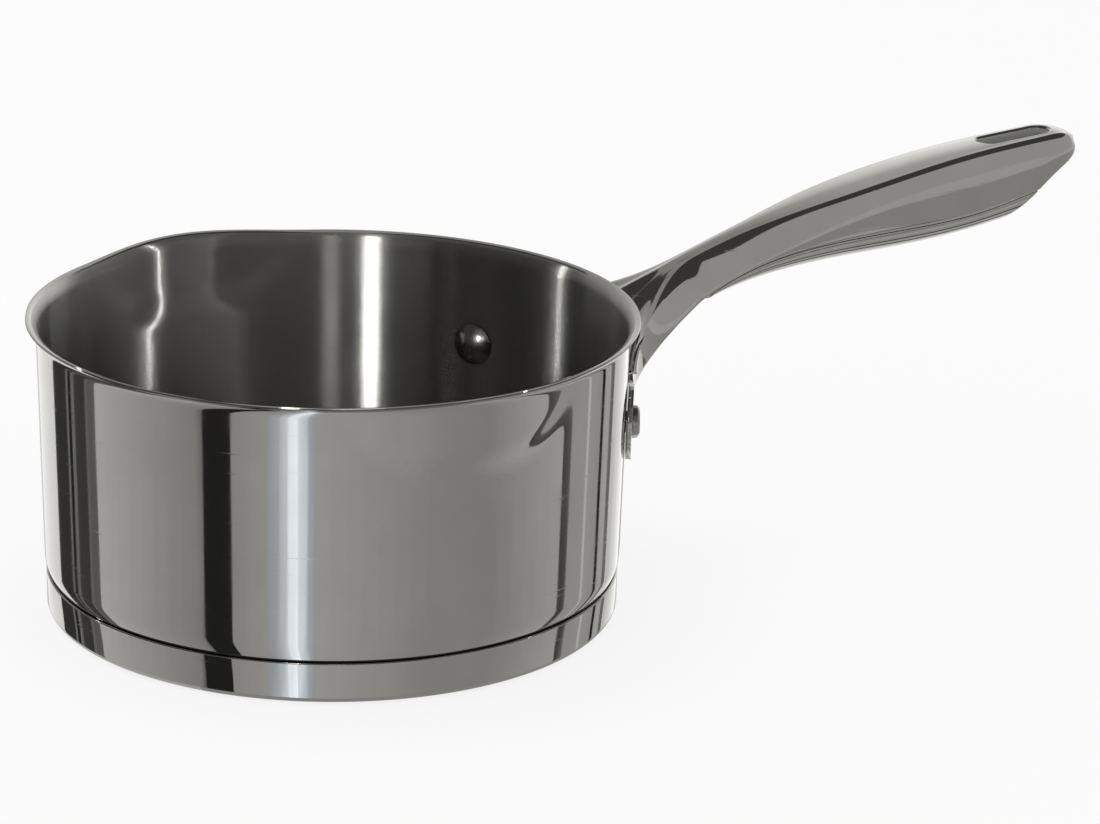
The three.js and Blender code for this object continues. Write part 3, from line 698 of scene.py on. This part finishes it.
# Rolling the slot's edge: the sheet turns down through a quarter round into a short collar
roll = arc(SLOT_ROLL_OUT, SLOT_ROUND, SLOT_ROUND, -90, -180, SLOT_ROLL_STEPS)
roll += [(roll[-1][0], SLOT_COLLAR), (roll[-1][0] + SLOT_SHEET, SLOT_COLLAR),
         (roll[-1][0] + SLOT_SHEET, HANDLE_SHEET), (SLOT_ROLL_OUT, HANDLE_SHEET)]
rolled_rim = bmesh.new()
rolled_rim.from_mesh(upper.data)
loops = []
for offset, depth in roll:
    loops.append([rolled_rim.verts.new((x / 1000, y / 1000, (top_surface(*at) - depth) / 1000))
                  for (x, y), at in zip(slot_line(offset), outline)])
for ring, (first, second) in enumerate(zip(loops, loops[1:] + loops[:1])):
    for i in range(around):
        j = (i + 1) % around
        strip = rolled_rim.faces.new((first[i], first[j], second[j], second[i]))
        strip.smooth = True
        strip.material_index = 1 if ring >= SLOT_POLISHED_RINGS else 0
rolled_rim.to_mesh(upper.data)
rolled_rim.free()
upper.data.set_sharp_from_angle(angle=math.radians(SMOOTH_BELOW))
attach(upper, "root")
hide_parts("handle_upper")

# The belly is the handle's pressed underside, set back from the arms and welded along the seam.
# It is thinner sheet, polished like the upper shell, and cut off slanting before the tip.
BELLY_SHEET = 1.2
BELLY_SETBACK = 3
BELLY_END = 5
BELLY = ((0.181, -13.3), (0.319, -8.8), (0.458, -6.4), (0.642, -5.3), (0.769, -3.5), (0.896, -0.7))
BELLY_STEPS = 70
BELLY_END_STEPS = 16
BELLY_COLUMNS = 20
CUT_HALVINGS = 40
belly = line(BELLY, PAN_HEIGHT)


def belly_point(x, turn):
    """A point of the belly's half-ellipse section, from the seam round to the middle."""
    edge = seam(x) - FIT
    return Vector((x, seam_half(x) * math.cos(turn), mixed(edge, belly(x), math.sin(turn))))


turns = [math.pi / 2 * (1 - j / BELLY_COLUMNS) for j in range(BELLY_COLUMNS + 1)]
belly_ends = []
for turn in turns:
    low, high = cut_start, seam_end
    for _ in range(CUT_HALVINGS):
        x = (low + high) / 2
        if belly_point(x, turn).z > end_cut(x):
            low = x
        else:
            high = x
    belly_ends.append(low)
belly_start = neck_x + BELLY_SETBACK
belly_straight = cut_start - BELLY_END
rows = []
for x in spread(belly_start, belly_straight, BELLY_STEPS):
    rows.append([belly_point(x, turn) for turn in turns])
for i in range(BELLY_END_STEPS + 1):
    xs = [mixed(belly_straight, end, i / BELLY_END_STEPS) for end in belly_ends]
    rows.append([belly_point(x, turn) for x, turn in zip(xs, turns)])
lower = sheet_piece("handle_belly", [rows], BELLY_SHEET)
settled(lower)
dress(lower, polished)
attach(lower, "root")
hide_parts("handle_lower")

# Two solid rivets hold the ears to the wall: a low dome inside and a flat, bevelled head outside.
# They are headed cold from stainless wire and polished by tumbling.
SHANK_RADIUS = 3
INNER_HEAD_RADIUS = 6
INNER_HEAD_HEIGHT = 2.5
OUTER_HEAD_RADIUS = 4.6
OUTER_HEAD_HEIGHT = 1.9
OUTER_HEAD_BEVEL = 0.6
OUTER_HEAD_BEVEL_WIDTH = 0.9
OUTER_HEAD_TAPER = 0.2
HOLE_CLEARANCE = 0.2
RIVET_STEPS = 64
RIVET_STEEL = "#a09f9b"
RIVET_DULL = "#8c8b88"

# Tumble-polished stainless: bright but softer than the sheet, with tiny dents from tumbling
tumbled, tree, place = new_finish("stainless_tumble_polished")
dents = add(tree, "ShaderNodeTexVoronoi", {"Vector": place, "Scale": 1000 / 1.2})
haze = add(tree, "ShaderNodeTexNoise", {"Vector": place, "Scale": 1000 / 3, "Detail": 4.0})
gloss = add(tree, "ShaderNodeMapRange", {0: haze.outputs["Fac"], 1: 0.3, 2: 0.7, 3: 0.18, 4: 0.28})
dented = add(tree, "ShaderNodeBump", {
    "Strength": 0.2, "Distance": 0.00002, "Height": dents.outputs["Distance"]})
metal_surface(tree, haze.outputs["Fac"], RIVET_STEEL, RIVET_DULL, {
    "Roughness": gloss.outputs[0], "Normal": dented.outputs[0]})

riveting, given = new_tree("rivet_pair", (
    ("Half Section", "Geometry"), ("Steps", "Int"), ("Angle", "Float"), ("Height", "Float"),
    ("Finish", "Material")))
blank = turned(riveting, given, ("Half Section", "Steps"))
raised = add(riveting, "ShaderNodeCombineXYZ", {2: given["Height"]})
lying = add(riveting, "GeometryNodeTransform", {
    "Geometry": blank, "Translation": raised.outputs[0], "Rotation": (0, math.pi / 2, 0)})
pair = add(riveting, "GeometryNodeMeshLine", {"Count": 2, "Offset": (0, 0, 0)})
number = add(riveting, "GeometryNodeInputIndex").outputs[0]
side = add(riveting, "ShaderNodeMath", {0: number, 1: 2.0, 2: -1.0}, operation="MULTIPLY_ADD")
side = add(riveting, "ShaderNodeMath", {0: side.outputs[0], 1: given["Angle"]}, operation="MULTIPLY")
bearing = add(riveting, "ShaderNodeCombineXYZ", {2: side.outputs[0]})
bearing = add(riveting, "FunctionNodeEulerToRotation", {0: bearing.outputs[0]})
set_in = add(riveting, "GeometryNodeInstanceOnPoints", {
    "Points": pair.outputs[0], "Instance": lying.outputs[0], "Rotation": bearing.outputs[0]})
real = add(riveting, "GeometryNodeRealizeInstances", {"Geometry": set_in.outputs[0]})
dressed = add(riveting, "GeometryNodeSetMaterial", {"Geometry": real.outputs[0], "Material": given["Finish"]})
add(riveting, "NodeGroupOutput", {0: dressed.outputs[0]})

seat = wall_radius(rivet_height) - SHEET
inner_face = math.sqrt(seat ** 2 - INNER_HEAD_RADIUS ** 2) - FIT
outer_face = wall_radius(rivet_height) + FIT + HANDLE_SHEET + HOLE_CLEARANCE / 2
head_end = outer_face + OUTER_HEAD_HEIGHT
dome = (INNER_HEAD_RADIUS ** 2 + INNER_HEAD_HEIGHT ** 2) / (2 * INNER_HEAD_HEIGHT)
dome_spread = math.degrees(math.asin(INNER_HEAD_RADIUS / dome))
rivet_section = arc(0, inner_face - INNER_HEAD_HEIGHT + dome, dome, -90, dome_spread - 90, 14)
rivet_section += [(SHANK_RADIUS, inner_face), (SHANK_RADIUS, outer_face), (OUTER_HEAD_RADIUS, outer_face)]
rivet_section += [(OUTER_HEAD_RADIUS - OUTER_HEAD_TAPER, head_end - OUTER_HEAD_BEVEL)]
rivet_section += [(OUTER_HEAD_RADIUS - OUTER_HEAD_BEVEL_WIDTH, head_end), (0, head_end)]
rivets = formed(half_section("rivets", rivet_section), riveting, {
    "Steps": RIVET_STEPS, "Angle": math.radians(RIVET_ANGLE), "Height": rivet_height / 1000,
    "Finish": tumbled})
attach(rivets, "root")
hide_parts("rivet_left", "rivet_right")

# The studio: a white floor and a white surround, a soft lamp above, and four strip lamps for the satin.
# Cards that the camera doesn't see lie round the pan and stand round the set, so that the polished
# steel shows a dark room, a grey table, a pale sweep and a few upright bands.
CAMERA_AT = (-505.9, -912.5, 398.8)
CAMERA_HEADING = 57.74
CAMERA_PITCH = 18.24
CAMERA_ROLL = 1.32
CAMERA_LENS = 131.0
SENSOR_WIDTH = 36
FLOOR_DROP = 0.4
FLOOR_HALF = 9000
FLOOR_WHITE = "#f4f4f3"
SHADOW_SHARE = 0.16
SKY_STRENGTH = 1.0
CARD_LENGTH = 320
CARD_LIFT = 0.8
CARD_GAP = 0.5
CARD_STEP = 3
# Painted shade round the pan's foot: how far it reaches past the cap, and its tone
FOOT_SHADE = 3
FOOT_SHADE_TONE = 0.08
# Bands as seen in the wall: from and to an angle off the line of sight, and the tone at each end
BANDS = (
    (-80, -67, 1.2, 1.2), (-67, -60.9, 0.06, 0.06), (-60.9, -60.1, 0.3, 0.3), (-60.1, -58.9, 0.03, 0.03),
    (-58.9, -57.7, 0.3, 0.28), (-57.7, -53.8, 0.09, 0.07), (-53.8, -52.9, 0.26, 0.26),
    (-52.9, -50.6, 0.2, 0.22), (-50.6, -26, 0.84, 0.46), (-26, -24.7, 0.46, 0.2), (-24.7, -19.1, 0.03, 0.03),
    (-19.1, -12, 0.56, 0.68), (-3.4, 18, 0.72, 0.5), (18, 30, 0.5, 0.48), (30, 48.6, 0.48, 0.74),
    (48.6, 51.1, 0.1, 0.3), (51.1, 56.4, 0.6, 0.6), (56.4, 57.2, 0.95, 0.95), (57.2, 61.9, 0.62, 0.52),
    (61.9, 63.2, 0.03, 0.03), (63.2, 66.2, 0.66, 0.7), (66.2, 68.1, 0.25, 0.2), (68.1, 80, 0.9, 1.5),
)
# The bright band is like a window's light, a little cooler than the rest
WINDOW_BANDS = (
    (-12, -9.8, 0.8, 1.1), (-9.8, -8.3, 1.2, 1.75), (-8.3, -6.5, 2.1, 2.5), (-6.5, -4.6, 1.8, 1.1),
    (-4.6, -3.4, 0.95, 0.75),
)
WINDOW_WHITE = "#eef5ff"
PLAIN_WHITE = "#ffffff"
TABLE = ((-700, -45), (-700, -500), (-300, -700), (300, -700), (760, -500), (760, 110), (95, 60), (95, -45))
TABLE_LIFT = 0.2
TABLE_TONE = 0.5
FAR_FLOOR = range(-100, 126, 15)
FAR_FLOOR_LIFT = 0.1
FAR_TONE = 0.72
# The room and the walls: headings, heights and tones
ROOM_REACH = 1900
ROOM_HEIGHT = 2900
ROOM_TONE = 0.085
ROOM_FOOT = 160
ROOM_LEFT = (-120, -40)
ROOM_FRONT = (-40, 40)
CEILING_HALF = 2850
POST_STEP = 5
FRONT_ROOM_TONE = 0.22
WALL_HEIGHT = 440
SIDE_WALL = ((40, 2230), (48, 1877), (56, 1325), (64, 1047), (72, 934), (80, 900), (130, 900))
WALL_TONE = 0.63
# The sweep: a heading, and the tone at heights there
SWEEP_PALE_END = ((0, 0.9), (400, 1.3), (850, 1.15), (1250, 0.72), (ROOM_HEIGHT, 0.5))
SWEEP = (
    (130, SWEEP_PALE_END),
    (171, SWEEP_PALE_END),
    (181, ((0, 0.7), (400, 0.86), (850, 0.8), (1250, 0.62), (ROOM_HEIGHT, 0.5))),
    (194, ((0, 0.6), (400, 0.68), (850, 0.66), (1250, 0.53), (ROOM_HEIGHT, 0.5))),
    (240, ((0, 0.4), (400, 0.4), (850, 0.4), (1250, 0.4), (ROOM_HEIGHT, 0.4))),
)
SWEEP_TOPS = (
    (130, 1100), (146, 1120), (152, 1250), (157, 1500), (161, 1950), (164, 2500), (166, ROOM_HEIGHT),
    (198.4, ROOM_HEIGHT), (198.8, 1480), (240, 1480),
)
SWEEP_GAP = 20
# A panel under the ceiling: from and to a heading, and its near and far reach
HIGH_PANEL = (171, 195, 750, 1900)
HIGH_PANEL_DROP = 10
HIGH_PANEL_TONE = 0.49
# Strip lamps: heading, lean, width and tone
STRIPS = ((-15.5, 3, 130, 42), (1.5, 0, 140, 3.6), (84.4, -16, 30, 40), (-107.5, 24, 40, 34))
STRIP_MIDDLE = 542
STRIP_HEIGHT = 312
STRIP_REACH = 1250
SOFT_LAMP_AT = (-300, 500, 1700)
SOFT_LAMP_SIZE = 1200
SOFT_LAMP_TONE = 1.2

sight = math.atan2(CAMERA_AT[1], CAMERA_AT[0])
sight_length = math.hypot(CAMERA_AT[0], CAMERA_AT[1])


def card_light(white):
    """A plain light whose strength is the card's tone."""
    light, tree, _ = new_finish("card_light_" + white[1:])
    tone = add(tree, "ShaderNodeAttribute", attribute_name="tone")
    glow = add(tree, "ShaderNodeEmission", {"Color": linear(white), "Strength": tone.outputs["Fac"]})
    add(tree, "ShaderNodeOutputMaterial", {"Surface": glow.outputs[0]})
    return light


plain_light = card_light(PLAIN_WHITE)
window_light = card_light(WINDOW_WHITE)


def toned_card(name, points, tones, faces, light=plain_light):
    """A card for reflections alone, with a tone at each point in millimetres."""
    mesh = bpy.data.meshes.new(name)
    mesh.from_pydata([(x / 1000, y / 1000, z / 1000) for x, y, z in points], [], faces)
    mesh.attributes.new("tone", "FLOAT", "POINT").data.foreach_set("value", tones)
    mesh.materials.append(light)
    card = bpy.data.objects.new(name, mesh)
    bpy.context.collection.objects.link(card)
    card.visible_camera = False
    card.visible_diffuse = False
    card.visible_shadow = False


def flat_card(name, points, tone):
    """A flat card of one tone."""
    toned_card(name, points, [tone] * len(points), [tuple(range(len(points)))])


def heading_point(angle, length, start=(0.0, 0.0)):
    """A point some way off along a heading, which is an angle off the line of sight in degrees."""
    a = sight + math.radians(angle)
    return start[0] + length * math.cos(a), start[1] + length * math.sin(a)


def band_card(name, bands, light):
    """Cards on the floor that the wall mirrors as upright bands."""
    points, tones, faces = [], [], []
    for start, end, first, last in bands:
        steps = max(1, round((end - start) / CARD_STEP))
        for i in range(steps + 1):
            off = mixed(start, end, i / steps)
            side_step = cap_radius * math.sin(math.radians(off))
            ahead = sight_length - cap_radius * math.cos(math.radians(off))
            leave = 2 * off + math.degrees(math.atan2(side_step, ahead))
            near = heading_point(off, cap_radius + CARD_GAP)
            far = heading_point(leave, CARD_LENGTH, near)
            points += [(*near, CARD_LIFT), (*far, CARD_LIFT)]
            tones += [mixed(first, last, i / steps)] * 2
            if i:
                n = len(points)
                faces.append((n - 4, n - 3, n - 1, n - 2))
    toned_card(name, points, tones, faces, light)


band_card("band_cards", BANDS, plain_light)
band_card("window_cards", WINDOW_BANDS, window_light)

# Painted shade: a dark card, seen only in the steel, stands for the pan's own shadow on the floor all round
# its foot
foot_points = []
foot_faces = []
for i in range(PAN_STEPS):
    turn = math.tau * i / PAN_STEPS
    foot_points += [((cap_radius + r) * math.cos(turn), (cap_radius + r) * math.sin(turn), -FLOOR_DROP / 2)
                    for r in (-2 * CAP_EDGE_RADIUS, FOOT_SHADE)]
    foot_faces.append((2 * i, 2 * i + 1, (2 * i + 3) % (2 * PAN_STEPS), (2 * i + 2) % (2 * PAN_STEPS)))
toned_card("painted_foot_shade_card", foot_points, [FOOT_SHADE_TONE] * len(foot_points), foot_faces)

# A grey table stretches away in front, for the handle's side, with paler floor beyond it
flat_card("table_card", [(x, y, TABLE_LIFT) for x, y in TABLE], TABLE_TONE)
flat_card("far_floor_card", [(*heading_point(a, ROOM_REACH), FAR_FLOOR_LIFT) for a in FAR_FLOOR], FAR_TONE)


def standing_card(name, posts, reach=ROOM_REACH):
    """A card that stands round the set on posts, each with a heading and its tones at heights."""
    fine = []
    for (a, first), (b, last) in zip(posts, posts[1:]):
        steps = math.ceil((b - a) / POST_STEP)
        for part in (i / steps for i in range(steps + 1)):
            tones = [(mixed(z, z_last, part), mixed(t, t_last, part))
                     for (z, t), (z_last, t_last) in zip(first, last)]
            fine.append((mixed(a, b, part), tones))
    tall = len(posts[0][1])
    points = [(*heading_point(a, reach), z) for a, tones in fine for z, _ in tones]
    levels = [tone for _, tones in fine for _, tone in tones]
    faces = []
    for i in range(len(fine) - 1):
        faces += [(n, n + 1, n + tall + 1, n + tall) for n in range(i * tall, (i + 1) * tall - 1)]
    toned_card(name, points, levels, faces)


# A dark room behind the camera with a grey wall to the right, and behind the pan a pale sweep that
# darkens upward. The room's own wall stands before the sweep above its tops.
room_top = (ROOM_HEIGHT, ROOM_TONE)
front_room = ((WALL_HEIGHT, FRONT_ROOM_TONE), (ROOM_HEIGHT, FRONT_ROOM_TONE))
front_wall = ((0, WALL_TONE), (WALL_HEIGHT, WALL_TONE))
standing_card("room_card", [(a, ((ROOM_FOOT, ROOM_TONE), room_top)) for a in ROOM_LEFT])
standing_card("front_room_card", [(a, front_room) for a in ROOM_FRONT])
standing_card("front_wall_card", [(a, front_wall) for a in ROOM_FRONT])
standing_card("side_room_card", [(a, ((z, ROOM_TONE), room_top)) for a, z in SIDE_WALL])
standing_card("side_wall_card", [(a, ((0, WALL_TONE), (z, WALL_TONE))) for a, z in SIDE_WALL])
standing_card("sweep_card", SWEEP)
above_sweep = [(a, ((z, ROOM_TONE), room_top)) for a, z in SWEEP_TOPS]
standing_card("sweep_room_card", above_sweep, ROOM_REACH - SWEEP_GAP)
square = ((-1, -1), (1, -1), (1, 1), (-1, 1))
flat_card("ceiling_card", [(CEILING_HALF * x, CEILING_HALF * y, ROOM_HEIGHT) for x, y in square], ROOM_TONE)
first, last, near, far = HIGH_PANEL
corners = ((first, near), (first, far), (last, far), (last, near))
panel = [(*heading_point(a, r), ROOM_HEIGHT - HIGH_PANEL_DROP) for a, r in corners]
flat_card("high_panel_card", panel, HIGH_PANEL_TONE)


def seen_plainly(tree):
    """1 for a ray from the camera, off metal or through glass, and 0 for the light itself."""
    path = add(tree, "ShaderNodeLightPath").outputs
    seen = add(tree, "ShaderNodeMath", {0: path["Is Camera Ray"], 1: path["Is Glossy Ray"]}, operation="ADD")
    seen = add(tree, "ShaderNodeMath", {0: seen.outputs[0], 1: path["Is Transmission Ray"]}, operation="ADD")
    return seen.outputs[0]


# White paper: matt, lit evenly, with a faint shadow under the pan
floor_mesh = bpy.data.meshes.new("floor")
floor_corners = [(FLOOR_HALF / 1000 * x, FLOOR_HALF / 1000 * y, -FLOOR_DROP / 1000) for x, y in square]
floor_mesh.from_pydata(floor_corners, [], [(0, 1, 2, 3)])
floor = bpy.data.objects.new("floor", floor_mesh)
bpy.context.collection.objects.link(floor)
paper, tree, _ = new_finish("white_paper")
seen = add(tree, "ShaderNodeMath", {0: seen_plainly(tree), 1: 1 - SHADOW_SHARE}, operation="MULTIPLY")
matt = add(tree, "ShaderNodeBsdfDiffuse", {"Color": linear(FLOOR_WHITE)})
white = add(tree, "ShaderNodeEmission", {"Strength": 1.0})
sheet = add(tree, "ShaderNodeMixShader", {0: seen.outputs[0], 1: matt.outputs[0], 2: white.outputs[0]})
add(tree, "ShaderNodeOutputMaterial", {"Surface": sheet.outputs[0]})
floor_mesh.materials.append(paper)

world = bpy.data.worlds.new("white_surround")
bpy.context.scene.world = world
world.use_nodes = True
tree = world.node_tree
tree.nodes.clear()
level = add(tree, "ShaderNodeMapRange", {0: seen_plainly(tree), 3: SKY_STRENGTH, 4: 1.0})
sky = add(tree, "ShaderNodeBackground", {"Strength": level.outputs[0]})
add(tree, "ShaderNodeOutputWorld", {"Surface": sky.outputs[0]})


def lamp(name, at, aim, wide, tall, tone, lean=0):
    """A soft lamp of a given tone, its face turned to a point in millimetres."""
    data = bpy.data.lights.new(name, "AREA")
    data.shape = "RECTANGLE"
    data.size = wide / 1000
    data.size_y = tall / 1000
    data.energy = tone * math.pi * data.size * data.size_y
    light = bpy.data.objects.new(name, data)
    bpy.context.collection.objects.link(light)
    look = Vector(aim) - Vector(at)
    facing = look.to_track_quat("-Z", "Y").to_matrix().to_4x4()
    leaned = facing @ Matrix.Rotation(math.radians(lean), 4, "Z")
    light.matrix_world = Matrix.Translation(Vector(at) / 1000) @ leaned
    light.visible_camera = False
    return light


# The strips are hung to streak the satin, so they light the pan and its rivets alone
pan_alone = bpy.data.collections.new("pan_alone")
pan_alone.objects.link(pan)
pan_alone.objects.link(rivets)
for number, (heading, lean, wide, tone) in enumerate(STRIPS):
    at = (*heading_point(heading, STRIP_REACH), STRIP_MIDDLE)
    strip = lamp("strip_lamp_%d" % number, at, (0, 0, STRIP_MIDDLE), wide, STRIP_HEIGHT, tone, lean)
    strip.visible_diffuse = False
    strip.light_linking.receiver_collection = pan_alone
soft = lamp("soft_lamp", SOFT_LAMP_AT, (0, 0, 0), SOFT_LAMP_SIZE, SOFT_LAMP_SIZE, SOFT_LAMP_TONE)
soft.visible_glossy = False

camera = bpy.data.objects.new("camera", bpy.data.cameras.new("camera"))
bpy.context.collection.objects.link(camera)
camera.data.lens = CAMERA_LENS
camera.data.sensor_width = SENSOR_WIDTH
camera.data.sensor_fit = "HORIZONTAL"
turned_to = Matrix.Rotation(math.radians(CAMERA_HEADING - 90), 4, "Z")
turned_to @= Matrix.Rotation(math.radians(90 - CAMERA_PITCH), 4, "X")
turned_to @= Matrix.Rotation(math.radians(CAMERA_ROLL), 4, "Z")
camera.matrix_world = Matrix.Translation(Vector(CAMERA_AT) / 1000) @ turned_to
bpy.context.scene.camera = camera
bpy.context.scene.view_settings.view_transform = "Standard"
